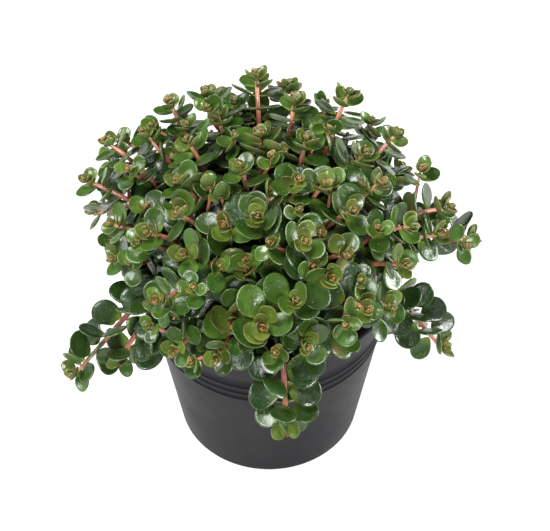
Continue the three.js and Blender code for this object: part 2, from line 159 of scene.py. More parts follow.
def between(tree, value, low, high, toLow=0.0, toHigh=1.0):  # low..high smoothly onto toLow..toHigh
    made = tree.nodes.new("ShaderNodeMapRange")
    made.interpolation_type = "SMOOTHSTEP"
    feed(tree, made.inputs["Value"], value)
    setInputs(made, {"From Min": low, "From Max": high, "To Min": toLow, "To Max": toHigh})
    return made.outputs["Result"]


def colourSteps(tree, value, steps):
    made = tree.nodes.new("ShaderNodeValToRGB")
    ramp = made.color_ramp
    while len(ramp.elements) < len(steps):
        ramp.elements.new(0.5)
    for element, (position, colour) in zip(ramp.elements, steps):
        element.position = position
        element.color = (*colour, 1)
    feed(tree, made.inputs["Fac"], value)
    return made.outputs["Color"]


def cloudy(tree, scale, detail=3.0, roughness=0.5):
    where = tree.nodes.new("ShaderNodeTexCoord")
    made = tree.nodes.new("ShaderNodeTexNoise")
    setInputs(made, {"Scale": scale, "Detail": detail, "Roughness": roughness})
    tree.links.new(where.outputs["Object"], made.inputs["Vector"])
    return made.outputs["Fac"]


def spotty(tree, scale):  # distance to the nearest of many scattered points
    where = tree.nodes.new("ShaderNodeTexCoord")
    made = tree.nodes.new("ShaderNodeTexVoronoi")
    made.inputs["Scale"].default_value = scale
    tree.links.new(where.outputs["Object"], made.inputs["Vector"])
    return made.outputs["Distance"], made.outputs["Color"]


def stored(tree, name):  # red, green and blue of a colour attribute
    made = tree.nodes.new("ShaderNodeAttribute")
    made.attribute_name = name
    parts = tree.nodes.new("ShaderNodeSeparateColor")
    tree.links.new(made.outputs["Color"], parts.inputs["Color"])
    return parts.outputs["Red"], parts.outputs["Green"], parts.outputs["Blue"]


def bumped(tree, shader, height, strength, distance):
    made = tree.nodes.new("ShaderNodeBump")
    setInputs(made, {"Strength": strength, "Distance": distance})
    tree.links.new(height, made.inputs["Height"])
    tree.links.new(made.outputs["Normal"], shader.inputs["Normal"])


def floorMaterial():
    material, _, shader = startMaterial("paleFloor")
    setInputs(shader, {
        "Base Color": studio["floorColour"],
        "Emission Color": (1, 1, 1, 1),
        "Emission Strength": studio["floorGlow"],
        "Roughness": 0.9,
        "Specular IOR Level": 0.1,
    })
    return material


def potMaterial():
    material, tree, shader = startMaterial("charcoalPlastic")
    grain = cloudy(tree, 2600, 2)
    wear = cloudy(tree, 28, 4, 0.6)
    colour = blendColour(tree, wear, (0.0035, 0.0035, 0.005, 1), (0.006, 0.006, 0.008, 1))
    tree.links.new(colour, shader.inputs["Base Color"])
    rough = reckon(tree, "ADD", between(tree, wear, 0.3, 0.7, 0.40, 0.48), reckon(tree, "MULTIPLY", grain, 0.06))
    tree.links.new(rough, shader.inputs["Roughness"])
    shader.inputs["Specular IOR Level"].default_value = 0.08
    bumped(tree, shader, grain, 0.12, 0.00008)
    return material


def soilMaterial():
    material, tree, shader = startMaterial("peat")
    crumb = cloudy(tree, 420, 6, 0.65)
    lump = cloudy(tree, 90, 4)
    dark = colourSteps(tree, crumb, [
        (0.3, (0.006, 0.004, 0.003)),
        (0.55, (0.022, 0.013, 0.008)),
        (0.75, (0.06, 0.038, 0.022)),
    ])
    colour = blendColour(tree, between(tree, lump, 0.35, 0.7, 0.0, 0.6), dark, (0.012, 0.008, 0.005, 1))
    tree.links.new(colour, shader.inputs["Base Color"])
    setInputs(shader, {"Roughness": 0.95, "Specular IOR Level": 0.2})
    bumped(tree, shader, crumb, 0.8, 0.0008)
    return material


leafFinish = {
    "byAge": [  # from the heart of a rosette to a full-grown leaf
        (0.0, (0.25, 0.125, 0.045)),
        (0.08, (0.16, 0.095, 0.03)),
        (0.18, (0.09, 0.10, 0.02)),
        (0.36, (0.045, 0.088, 0.011)),
        (0.65, (0.021, 0.052, 0.006)),
        (1.0, (0.011, 0.030, 0.005)),
    ],
    "foot": (0.16, 0.25, 0.025, 1),
    "margin": (0.12, 0.15, 0.035, 1),
    "youngMargin": (0.22, 0.09, 0.035, 1),
    "underside": (0.075, 0.125, 0.035, 1),
    "undersideBlush": (0.15, 0.085, 0.035, 1),
    "speck": (0.42, 0.46, 0.36, 1),
}


def leafMaterial():
    material, tree, shader = startMaterial("waxyLeaf")
    ring, under, along = stored(tree, "blade")
    age, toneAndPaintedShade, blush = stored(tree, "growth")
    patch = cloudy(tree, 110, 3, 0.55)
    fine = cloudy(tree, 900, 3, 0.6)
    colour = colourSteps(tree, age, leafFinish["byAge"])
    # random tone from leaf to leaf, plus painted shade: the shade shoots' leaves are held at the darkest end
    shade = between(tree, toneAndPaintedShade, 0.0, 1.0, 0.72, 1.4)
    mottled = reckon(tree, "MULTIPLY", shade, between(tree, patch, 0.3, 0.7, 0.82, 1.2))
    dull = tree.nodes.new("ShaderNodeCombineColor")
    for channel in ("Red", "Green", "Blue"):
        tree.links.new(mottled, dull.inputs[channel])
    colour = blendColour(tree, 1.0, colour, dull.outputs["Color"], "MULTIPLY")
    colour = blendColour(tree, between(tree, along, 0.05, 0.42, 0.55, 0.0), colour, leafFinish["foot"])
    blotch = between(tree, patch, 0.45, 0.65, 0.0, 0.7)
    below = blendColour(tree, blotch, leafFinish["underside"], leafFinish["undersideBlush"])
    colour = blendColour(tree, reckon(tree, "MULTIPLY", under, 0.8), colour, below)
    margin = blendColour(tree, between(tree, age, 0.2, 0.5), leafFinish["youngMargin"], leafFinish["margin"])
    reach = between(tree, ring, 0.955, 0.995, 0.0, 0.5)
    reach = reckon(tree, "MULTIPLY", reach, between(tree, along, 0.12, 0.35))
    colour = blendColour(tree, reach, colour, margin)
    bronze = between(tree, age, 0.1, 0.5, 0.55, 0.0)
    bronze = reckon(tree, "MULTIPLY", bronze, between(tree, ring, 0.55, 1.0))
    colour = blendColour(tree, reckon(tree, "MULTIPLY", bronze, blush), colour, (0.20, 0.07, 0.03, 1))
    near, chance = spotty(tree, 620)
    some = tree.nodes.new("ShaderNodeSeparateColor")
    tree.links.new(chance, some.inputs["Color"])
    speck = between(tree, near, 0.06, 0.17, 0.6, 0.0)
    speck = reckon(tree, "MULTIPLY", speck, between(tree, some.outputs["Red"], 0.72, 0.8))
    colour = blendColour(tree, speck, colour, leafFinish["speck"])
    tree.links.new(colour, shader.inputs["Base Color"])
    rough = reckon(tree, "ADD", between(tree, patch, 0.3, 0.75, 0.18, 0.34), reckon(tree, "MULTIPLY", fine, 0.08))
    tree.links.new(rough, shader.inputs["Roughness"])
    setInputs(shader, {
        "Specular IOR Level": 0.38,
        "Coat Weight": 0.14,
        "Coat Roughness": 0.12,
        "Subsurface Weight": 0.06,
        "Subsurface Radius": (0.4, 0.6, 0.15),
        "Subsurface Scale": 0.002,
    })
    dimple = cloudy(tree, 330, 2, 0.5)
    height = reckon(tree, "ADD", reckon(tree, "MULTIPLY", patch, 3.0), reckon(tree, "MULTIPLY", fine, 0.4))
    height = reckon(tree, "ADD", height, dimple)
    bumped(tree, shader, height, 0.42, 0.0005)
    return material


def stemMaterial():
    material, tree, shader = startMaterial("blushingStem")
    share, _, _ = stored(tree, "growth")
    streak = cloudy(tree, 500, 4, 0.6)
    colour = colourSteps(tree, share, [
        (0.0, (0.045, 0.020, 0.012)),
        (0.45, (0.12, 0.040, 0.022)),
        (0.72, (0.30, 0.085, 0.050)),
        (0.93, (0.46, 0.19, 0.12)),
        (1.0, (0.34, 0.28, 0.10)),
    ])
    colour = blendColour(tree, between(tree, streak, 0.45, 0.75, 0.0, 0.5), colour, (0.10, 0.035, 0.02, 1))
    tree.links.new(colour, shader.inputs["Base Color"])
    tree.links.new(between(tree, streak, 0.3, 0.7, 0.28, 0.5), shader.inputs["Roughness"])
    shader.inputs["Coat Weight"].default_value = 0.2
    bumped(tree, shader, streak, 0.4, 0.0003)
    return material


# finished pieces


def finishPiece(name, bm, material, nodes, levels=0):
    mesh = bpy.data.meshes.new(name)
    for face in bm.faces:
        face.smooth = True
    bm.to_mesh(mesh)
    bm.free()
    mesh.materials.append(material)
    piece = link(bpy.data.objects.new(name, mesh))
    if levels:
        rounding = piece.modifiers.new("rounding", "SUBSURF")
        rounding.levels = rounding.render_levels = levels
    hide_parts(*nodes)
    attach(piece, "root")
    return piece


# pot: a turned profile, with its holes cut afterwards

potShape = {
    "wall": 1.6,
    "floor": 2.2,
    "lip": 1.2,
    "bandHeight": 18,
    "bandStep": 0.7,
    "ribs": 3,
    "ribDrop": 25,
    "ribPitch": 5.1,
    "ribWidth": 1.6,
    "ribHeight": 0.4,
    "footWidth": 5,
    "footRound": 1.6,
    "chamfer": (0.3, 0.25),  # of the foot ring and the middle disc: across and up
    "bandRise": 1.4,
    "lipTuck": (0.15, 3.4),  # of the wall under the lip: inwards, and down in lip heights
    "innerRound": 0.7,
    "innerBend": 30,
    "floorRound": 2,
    "baseDiameter": 91,
    "centreDiameter": 36,
    "underside": 2.2,
    "drainHoles": 6,
    "drainDiameter": 8,
    "cutMiddle": 3,
    "cutDepth": 10,
    "crispAngle": 50,
    "turns": 160,
}
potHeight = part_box("pot")[1].z / mm
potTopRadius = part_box("pot")[1].x / mm - potShape["bandStep"] - potShape["lip"]


def potRadiusAt(z):
    foot = potShape["baseDiameter"] / 2
    return foot + (potTopRadius - foot) * z / potHeight


def arcPoints(centreR, centreZ, radius, start, end, steps):
    turns = [math.radians(start + (end - start) * k / steps) for k in range(steps + 1)]
    return [(centreR + radius * math.cos(t), centreZ + radius * math.sin(t)) for t in turns]


def potProfile():
    s = potShape
    foot = s["baseDiameter"] / 2 - s["footWidth"]
    centre = s["centreDiameter"] / 2
    floorTop = s["underside"] + s["floor"]
    inwards, rise = s["chamfer"]
    points = [(foot, rise), (foot + inwards, 0)]
    points += arcPoints(potRadiusAt(0) - s["footRound"], s["footRound"], s["footRound"], -90, -8, 6)
    for rib in reversed(range(s["ribs"])):
        middle = potHeight - s["ribDrop"] - rib * s["ribPitch"]
        for k in range(9):
            share = k / 8
            z = middle + (share - 0.5) * s["ribWidth"]
            points.append((potRadiusAt(z) + s["ribHeight"] * math.sin(math.pi * share) ** 1.5, z))
    bandFoot = potHeight - s["bandHeight"]
    for k in range(7):
        share = k / 6
        z = bandFoot + s["bandRise"] * share
        points.append((potRadiusAt(z) + s["bandStep"] * (1 - math.cos(math.pi * share)) / 2, z))
    step, wall, inner, corner = s["bandStep"], s["wall"], s["innerRound"], s["floorRound"]
    tuck, lips = s["lipTuck"]
    points.append((potRadiusAt(potHeight) + step - tuck, potHeight - lips * s["lip"]))
    points += arcPoints(potRadiusAt(potHeight) + step, potHeight - s["lip"], s["lip"], -70, 90, 9)
    points += arcPoints(potRadiusAt(potHeight) - wall + inner, potHeight - inner, inner, 90, 180, 5)
    bend = potHeight - s["innerBend"]
    points.append((potRadiusAt(bend) - wall, bend))
    points += arcPoints(potRadiusAt(floorTop) - wall - corner, floorTop + corner, corner, 0, -90, 5)
    points += [(0, floorTop), (0, 0), (centre - inwards, 0), (centre, rise)]
    points += [(centre + s["underside"], s["underside"]), (foot - s["underside"], s["underside"])]
    return points


def spun(profile, turns):
    bm = bmesh.new()
    verts = [bm.verts.new((r * mm, 0, z * mm)) for r, z in profile]
    edges = [bm.edges.new((verts[k], verts[(k + 1) % len(verts)])) for k in range(len(verts))]
    bmesh.ops.spin(
        bm, geom=verts + edges, cent=(0, 0, 0), axis=(0, 0, 1), angle=2 * math.pi, steps=turns, use_merge=True
    )
    bmesh.ops.remove_doubles(bm, verts=bm.verts, dist=1e-6)
    bmesh.ops.recalc_face_normals(bm, faces=bm.faces)
    return bm


def makePot(material):
    s = potShape
    pot = finishPiece("nurseryPot", spun(potProfile(), s["turns"]), material, ["pot"])
    cutters = bmesh.new()
    ringRadius = (s["centreDiameter"] / 2 + s["baseDiameter"] / 2 - s["footWidth"]) / 2
    for hole in range(s["drainHoles"]):
        turn = (hole + 0.5) / s["drainHoles"] * 2 * math.pi
        spot = (ringRadius * mm * math.cos(turn), ringRadius * mm * math.sin(turn), s["cutMiddle"] * mm)
        radius = s["drainDiameter"] / 2 * mm
        bmesh.ops.create_cone(
            cutters, cap_ends=True, segments=32, radius1=radius, radius2=radius,
            depth=s["cutDepth"] * mm, matrix=Matrix.Translation(spot),
        )
    tool = bpy.data.objects.new("drainCutter", bpy.data.meshes.new("drainCutter"))
    cutters.to_mesh(tool.data)
    cutters.free()
    link(tool)
    cut = pot.modifiers.new("drains", "BOOLEAN")
    cut.operation = "DIFFERENCE"
    cut.object = tool
    bpy.context.view_layer.update()
    whole = bpy.data.meshes.new_from_object(pot.evaluated_get(bpy.context.evaluated_depsgraph_get()))
    pot.modifiers.clear()
    pot.data = whole
    bpy.data.objects.remove(tool)
    sharp = pot.modifiers.new("crispEdges", "EDGE_SPLIT")
    sharp.split_angle = math.radians(s["crispAngle"])


# soil: a turned body with a lumpy top and loose crumbs on it

soilShape = {
    "crown": 3,
    "clearance": 0.35,
    "topRings": 26,
    "lumps": 1.6,
    "footBevel": 1.5,
    "crumbs": 420,
    "crumbSize": (0.4, 1.7),
    "fromWall": 2,
    "seed": 5,
    "turns": 120,
}
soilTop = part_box("soil")[1].z / mm - soilShape["crown"]


def soilHeightAt(x, y):
    wall = potRadiusAt(soilTop) - potShape["wall"]
    share = min(math.hypot(x, y) / wall, 1)
    crown = soilShape["crown"] * (1 - share * share)
    lump = noise.noise(Vector((x, y, 3)) * 0.11) + 0.5 * noise.noise(Vector((x, y, 9)) * 0.35)
    return soilTop + crown + soilShape["lumps"] * (lump - 0.55)


def makeSoil(material):
    s = soilShape
    bottom = potShape["underside"] + potShape["floor"] + s["clearance"]
    wallAt = lambda z: potRadiusAt(z) - potShape["wall"] - s["clearance"]
    profile = [(wallAt(soilTop) * k / s["topRings"], soilTop) for k in range(s["topRings"] + 1)]
    profile += [(wallAt(bottom) - s["footBevel"], bottom), (0, bottom)]
    bm = spun(profile, s["turns"])
    for v in bm.verts:
        if v.co.z > (soilTop - 0.01) * mm:
            v.co.z = soilHeightAt(v.co.x / mm, v.co.y / mm) * mm
    draw = random.Random(s["seed"])
    for _ in range(s["crumbs"]):
        reach = (wallAt(soilTop) - s["fromWall"]) * math.sqrt(draw.random())
        turn = draw.uniform(0, 2 * math.pi)
        x, y = reach * math.cos(turn), reach * math.sin(turn)
        size = draw.uniform(*s["crumbSize"])
        made = bmesh.ops.create_icosphere(bm, subdivisions=1, radius=size * mm)["verts"]
        squash = Matrix.Diagonal((1, draw.uniform(0.5, 0.9), draw.uniform(0.4, 0.8), 1))
        spin = Matrix.Rotation(draw.uniform(0, 6), 4, "Z") @ Matrix.Rotation(draw.uniform(-0.5, 0.5), 4, "X")
        place = Matrix.Translation(Vector((x, y, soilHeightAt(x, y) + 0.2 * size)) * mm)
        bmesh.ops.transform(bm, matrix=place @ spin @ squash, verts=made)
    finishPiece("pottingSoil", bm, material, ["soil"])


# growing: where each stem runs and each leaf stands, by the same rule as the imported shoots

stemGrowth = {
    "baseRadius": 1.5,
    "tipRadius": 0.9,
    "rootReach": 0.5,
    "rootMost": 38,
    "rootScatter": 0.07,
    "rise": 0.36,
    "straightEnd": 0.3,
    "rootFromWall": 12.4,
    "rimPass": 30,
    "longestDrop": 0.75,
    "socketDepth": 5,
}
leafGrowth = {
    "thickness": 1.5,
    "youngThickness": 0.55,
    "widthShare": 0.9,
    "bladeCentre": 0.57,
    "footTaper": 0.3,
    "youngest": 0.56,
    "pairsToGrow": 3,
    "sizeCurve": 0.8,
    "openingCurve": 0.7,
    "youngAngle": 40,
    "oldAngle": 4,
    "firstGap": 3.6,
    "youngGap": 0.45,
    "bareRoot": 0.05,
    "footDepth": 0.8,
}
scatter = {"turn": 14, "lift": 0.14, "length": 0.1, "width": 0.07}
facing = {"tips": 0.65, "light": (0, -0.12, 1), "outward": 0.45, "most": 0.7, "lessAlong": 0.55, "least": 0.2}

# azimuth of the tip, its distance from the axis, its height over the rim, its slope, pairs of leaves,
# length of a full leaf, distance between pairs, and the turn of the first pair about the stem; for a
# hanging shoot the distance is counted from the rim
standing = [
    # crown, from the middle outwards
    (188, 12, 65, 80, 5, 15, 5.5, 20),
    (316, 18, 67, 72, 5, 16, 6, 60),
    (45, 24, 64, 75, 4, 16, 5.5, 10),
    (100, 22, 61, 80, 4, 21, 5, 40),
    (262, 30, 62, 62, 4, 19, 5.5, 75),
    (184, 40, 57, 52, 4, 17, 5.5, 30),
    (121, 46, 59, 58, 5, 15, 5.5, 0),
    (75, 46, 63, 62, 4, 17, 5.5, 50),
    (49, 56, 69, 50, 6, 16, 7.5, 15),
    (20, 46, 56, 45, 4, 18, 5.5, 70),
    (358, 50, 55, 46, 5, 16, 6.5, 35),
    (330, 42, 56, 42, 4, 18, 5.5, 5),
    (292, 42, 56, 45, 4, 18, 5.5, 40),
    (236, 33, 54, 50, 4, 21, 5.5, 85),
    (228, 54, 49, 36, 4, 17, 5.5, 25),
    (205, 58, 46, 30, 4, 17, 5.5, 55),
    (208, 44, 54, 46, 4, 18, 5.5, 10),
    (255, 58, 22, -6, 4, 27, 8, 0),
    (340, 26, 61, 60, 4, 17, 5.5, 25),
    (310, 52, 48, 34, 4, 18, 6, 70),
    (150, 42, 59, 55, 4, 16, 5.5, 65),
    # shoulder
    (95, 67, 59, 56, 5, 16, 6.5, 20),
    (117, 64, 57, 42, 4, 16, 6, 65),
    (133, 68, 57, 48, 5, 15, 5.5, 30),
    (150, 66, 53, 40, 4, 15, 6, 0),
    (162, 78, 56, 30, 5, 14, 6.5, 45),
    (168, 86, 37, 16, 5, 15, 7.5, 20),
    (180, 72, 26, 6, 4, 17, 6, 70),
    (228, 72, 34, 8, 5, 15, 5.5, 15),
    (238, 78, 13, -8, 4, 14, 5.5, 50),
    (252, 72, 12, -14, 4, 16, 6, 20),
    (268, 66, 31, 14, 4, 23, 6, 60),
    (284, 70, 20, 16, 5, 17, 5.5, 30),
    (298, 58, 46, 30, 4, 19, 5.5, 34),
    (306, 72, 34, 16, 5, 16, 5.5, 45),
    (320, 70, 20, 4, 4, 17, 5.5, 20),
    (332, 68, 33, 8, 4, 17, 6, 75),
    (344, 66, 43, 8, 6, 17, 8, 10),
    (355, 78, 26, 2, 4, 17, 6, 55),
    (3, 83, 32, -8, 7, 16, 6.2, 30),
    (36, 74, 42, 24, 4, 16, 6, 60),
    (62, 82, 42, 24, 5, 16, 6, 10),
    (84, 86, 36, 14, 5, 16, 6, 46),
    (106, 88, 30, 8, 4, 16, 6, 80),
    (144, 86, 33, 12, 5, 16, 6, 35),
    (188, 72, 13, -12, 4, 16, 6, 5),
    (273, 36, 44, 34, 4, 19, 5.5, 20),
]
hanging = [
    (203, 40, -36, -46, 7, 16.5, 6.2, 15),
    (209, 21, -27, -56, 5, 16, 6, 50),
    (276, 16, -29, -84, 7, 16, 5.8, 20),
    (341, 27, -29, -50, 6, 16, 6, 40),
    (9, 38, 0, -34, 8, 16, 6, 0),
    (44, 30, 0, -30, 4, 17, 6.5, 70),
    (68, 24, -14, -48, 5, 16, 7, 25),
    (94, 32, 2, -28, 4, 16, 6.5, 60),
    (122, 30, -10, -40, 5, 17, 7, 15),
    (156, 34, -6, -36, 5, 16, 7, 45),
]
shoots = [(a, r, potHeight + h, *rest) for a, r, h, *rest in standing]
shoots += [(a, potTopRadius + r, potHeight + h, *rest) for a, r, h, *rest in hanging]
rimInner = potTopRadius - potShape["wall"]


def unit(v):
    return v / np.linalg.norm(v)


light = unit(np.array(facing["light"]))


def uneven(n):  # repeatable, from -1 to 1
    s = math.sin(n * 12.9898 + 78.233) * 43758.5453
    return 2 * (s - math.floor(s)) - 1


routeSteps = 200


def routeOf(*controls):
    controls = [np.array(c, float) for c in controls]
    spots = np.array([bezierAt(controls, k / routeSteps) for k in range(routeSteps + 1)])
    lengths = np.concatenate([[0], np.cumsum(np.linalg.norm(np.diff(spots, axis=0), axis=1))])
    return {"controls": controls, "length": lengths[-1], "shares": lengths / lengths[-1]}


def bezierAt(controls, t):
    a, b, c, d = controls
    return a * (1 - t) ** 3 + 3 * b * t * (1 - t) ** 2 + 3 * c * t * t * (1 - t) + d * t**3


def timeAt(route, share):
    return float(np.interp(share, route["shares"], np.linspace(0, 1, routeSteps + 1)))


def pointAt(route, share):
    return bezierAt(route["controls"], timeAt(route, share))


def headingAt(route, share):
    t = timeAt(route, share)
    early, late = max(t - 1e-4, 0), min(t + 1e-4, 1)
    return unit(bezierAt(route["controls"], late) - bezierAt(route["controls"], early))


def outwardOf(azimuth):
    return np.array([math.cos(math.radians(azimuth)), math.sin(math.radians(azimuth)), 0])


def stemRoute(row, n):
    azimuth, reach, height, slope = row[:4]
    g = stemGrowth
    out = outwardOf(azimuth)
    hangs = n >= len(standing)
    rootTurn = math.radians(azimuth) + (0 if hangs else g["rootScatter"]) * uneven(n + 0.3)
    rootRadius = rimInner - g["rootFromWall"] if hangs else min(g["rootReach"] * reach, g["rootMost"])
    root = np.array([rootRadius * math.cos(rootTurn), rootRadius * math.sin(rootTurn), soilTop - g["socketDepth"]])
    tip = out * reach + up * height
    heading = out * math.cos(math.radians(slope)) + up * math.sin(math.radians(slope))
    span = np.linalg.norm(tip - root)
    if not hangs:
        return routeOf(root, root + up * g["rise"] * span, tip - heading * g["straightEnd"] * span, tip)
    crest = potHeight + g["rimPass"]
    drop = min((crest - height) / math.sin(math.radians(-slope)), g["longestDrop"] * span)
    return routeOf(root, root * [1, 1, 0] + up * crest, tip - heading * drop, tip)


def pairOfLeaves(shoot, pair, age, route, share, radius, roll, lift, length, sun, draws):
    middle, turned = pointAt(route, share), facing["tips"] * (1 - age)
    along = unit(headingAt(route, share) * (1 - turned) + sun * turned)
    side = np.cross(up, along)
    side = unit(side) if np.linalg.norm(side) >= 0.2 else np.array(route["flatSide"], float)
    across = np.cross(along, side)
    made = []
    for half, draw in enumerate(draws):
        turn = math.radians(roll + 180 * half + scatter["turn"] * uneven(draw))
        angle = lift + scatter["lift"] * uneven(draw + 0.5)
        flat = side * math.cos(turn) + across * math.sin(turn)
        d = flat * math.cos(angle) + along * math.sin(angle)
        normal = along * math.cos(angle) - flat * math.sin(angle)
        lit = unit(sun - d * sun.dot(d))
        bend = min(max(facing["most"] - facing["lessAlong"] * along.dot(sun), facing["least"]), 1)
        normal = normal * (1 - bend) + lit * bend
        normal = unit(normal - d * normal.dot(d))
        size = length * (1 + scatter["length"] * uneven(draw + 0.7))
        made.append({
            "shoot": shoot, "pair": pair, "age": age, "draw": draw, "d": d, "normal": normal, "length": size,
            "origin": middle + flat * radius * (1 - leafGrowth["footDepth"]),
            "width": size * leafGrowth["widthShare"] * (1 + scatter["width"] * uneven(draw + 0.9)),
            "thickness": leafGrowth["thickness"] * (leafGrowth["youngThickness"] * (1 - age) + age),
        })
    return made


def grownShare(age):  # size of a leaf against a full-grown one
    return leafGrowth["youngest"] + (1 - leafGrowth["youngest"]) * age ** leafGrowth["sizeCurve"]


def stemRadiusAt(share):
    return stemGrowth["baseRadius"] + (stemGrowth["tipRadius"] - stemGrowth["baseRadius"]) * share


def leavesOf(row, n, route):
    azimuth, _, _, _, pairs, full, gap, roll = row
    g = leafGrowth
    outward = outwardOf(azimuth)
    sun = unit(light + outward * facing["outward"])
    route["flatSide"] = (-outward[1], outward[0], 0)
    leaves, back = [], g["firstGap"]
    for pair in range(pairs):
        age = min(pair / g["pairsToGrow"], 1)
        size = full * grownShare(age)
        lift = math.radians(g["youngAngle"] + (g["oldAngle"] - g["youngAngle"]) * age ** g["openingCurve"])
        share = 1 - back / route["length"]
        if share < g["bareRoot"]:
            break
        draws = [n * 40 + pair * 2, n * 40 + pair * 2 + 1]
        turn = roll + 90 * pair
        leaves += pairOfLeaves(n, pair, age, route, share, stemRadiusAt(share), turn, lift, size, sun, draws)
        back += gap * (g["youngGap"] + (1 - g["youngGap"]) * age)
    return [l for l in leaves if clearOfPot(l["origin"])]


def clearOfPot(foot):
    return math.hypot(foot[0], foot[1]) > rimInner + room["besideRim"] or foot[2] > potHeight + room["overRim"]


# leaves push each other aside until each has room

room = {
    "steps": 70,
    "gap": 0.55,
    "share": 0.6,
    "most": 0.12,
    "recall": 0.015,
    "spill": 0.4,
    "stemSpill": 1.2,
    "rim": 1.06,
    "shortest": 2,
    "stemReach": 1.2,
    "ownStem": 0.4,
    "stemShare": 0.5,
    "stemPoints": 24,
    "buried": 6,
    "besideRim": 3,
    "overRim": 4,
}
probes = np.array([  # points looked at on each blade: along it, and across it to either side
    [1, 0], [0.9, 0.6], [0.9, -0.6], [0.62, 1], [0.62, -1],
    [0.36, 0.8], [0.36, -0.8], [0.78, 0], [0.55, 0], [0.34, 0],
])


def gather(leaves, fixed=0):  # the first fixed leaves stay as they are
    measures = ("origin", "d", "normal", "length", "width", "thickness")
    crowd = {k: np.array([l[k] for l in leaves], float) for k in measures}
    crowd["shoot"] = np.array([l["shoot"] for l in leaves])
    crowd["pair"] = np.array([l["pair"] for l in leaves])
    crowd["restD"], crowd["restNormal"] = crowd["d"].copy(), crowd["normal"].copy()
    i, j = np.triu_indices(len(leaves), 1)
    near = np.linalg.norm(crowd["origin"][i] - crowd["origin"][j], axis=1) < crowd["length"][i] + crowd["length"][j]
    same = (crowd["shoot"][i] == crowd["shoot"][j]) & (crowd["pair"][i] == crowd["pair"][j])
    keep = near & ~same & (j >= fixed)
    crowd["i"], crowd["j"] = i[keep], j[keep]
    crowd["free"] = np.arange(len(leaves)) >= fixed
    return crowd


def meetStems(crowd, stemShoots, stemPoints):
    gaps = np.linalg.norm(crowd["origin"][:, None] - stemPoints[None], axis=2)
    near = gaps <= crowd["length"][:, None] * room["stemReach"]
    own = (stemShoots[None] == crowd["shoot"][:, None]) & (gaps < room["ownStem"] * crowd["length"][:, None])
    crowd["stemLeaf"], crowd["stemPoint"] = np.nonzero(near & ~own)
    crowd["stemPlaces"] = stemPoints


def bladeFrames(crowd):
    w = np.cross(crowd["normal"], crowd["d"])
    centre = crowd["origin"] + crowd["d"] * leafGrowth["bladeCentre"] * crowd["length"][:, None]
    a = (1 - leafGrowth["bladeCentre"]) * crowd["length"] * room["rim"]
    b = crowd["width"] / 2 * room["rim"]
    spots = crowd["origin"][:, None] + crowd["d"][:, None] * (probes[None, :, :1] * crowd["length"][:, None, None])
    spots = spots + w[:, None] * (probes[None, :, 1:] * crowd["width"][:, None, None] / 2)
    return w, centre, a, b, spots


def leafPushes(crowd, frames):
    w, centre, a, b, spots = frames
    found = []
    for first, second in ((crowd["i"], crowd["j"]), (crowd["j"], crowd["i"])):
        offset = spots[first] - centre[second][:, None]
        n = crowd["normal"][second]
        along = np.einsum("mpk,mk->mp", offset, crowd["d"][second]) / a[second][:, None]
        across = np.einsum("mpk,mk->mp", offset, w[second]) / b[second][:, None]
        height = np.einsum("mpk,mk->mp", offset, n)
        beyond = np.where(np.einsum("mk,mk->m", centre[first] - centre[second], n) < 0, -1.0, 1.0)
        need = (crowd["thickness"][first] + crowd["thickness"][second]) / 2 + room["gap"]
        depth = need[:, None] - beyond[:, None] * height
        m, p = np.nonzero((along**2 + across**2 < 1) & (depth > 0))
        push = n[m] * (beyond[m] * depth[m, p] / 2)[:, None]
        found.append((m, first[m], second[m], spots[first[m], p], push, depth[m, p]))
    return found


def stemPushes(crowd, frames):
    w, centre, a, b, _ = frames
    leaf, place = crowd["stemLeaf"], crowd["stemPlaces"][crowd["stemPoint"]]
    offset = place - centre[leaf]
    along = np.einsum("mk,mk->m", offset, crowd["d"][leaf]) / a[leaf]
    across = np.einsum("mk,mk->m", offset, w[leaf]) / b[leaf]
    height = np.einsum("mk,mk->m", offset, crowd["normal"][leaf])
    need = crowd["thickness"][leaf] / 2 + stemGrowth["baseRadius"] + room["gap"]
    hit = (along**2 + across**2 < 1) & (abs(height) <= need)
    leaf, place, along, across = leaf[hit], place[hit], along[hit], across[hit]
    depth = (1 - np.hypot(along, across)) * b[leaf]
    swing = np.where(across < 0, 1, -1) * (depth + stemGrowth["baseRadius"]) * room["stemShare"]
    return leaf, place, w[leaf] * swing[:, None], depth


def potPushes(crowd, frames):
    spots = frames[4]
    margin = (crowd["thickness"] / 2 + room["gap"])[:, None]
    x, y, z = spots[..., 0], spots[..., 1], spots[..., 2]
    r = np.hypot(x, y)
    low = z <= potHeight + margin
    wall = potRadiusAt(z) + potShape["bandStep"] + potShape["lip"] + margin
    outside = (np.hypot(crowd["origin"][:, 0], crowd["origin"][:, 1]) > rimInner)[:, None]
    push = np.zeros_like(spots)
    beside = low & outside & (r < wall)
    push[..., 0] = np.where(beside, x / r * (wall - r), 0)
    push[..., 1] = np.where(beside, y / r * (wall - r), 0)
    overRim = low & ~outside & (r > rimInner - margin)
    ground = soilTop + soilShape["crown"] + margin
    overSoil = low & ~outside & ~overRim & (z < ground)
    push[..., 2] = np.where(overRim, potHeight + margin - z, np.where(overSoil, ground - z, 0))
    leaf, probe = np.nonzero(beside | overRim | overSoil)
    push = push[leaf, probe]
    return leaf, spots[leaf, probe], push, np.linalg.norm(push, axis=1)


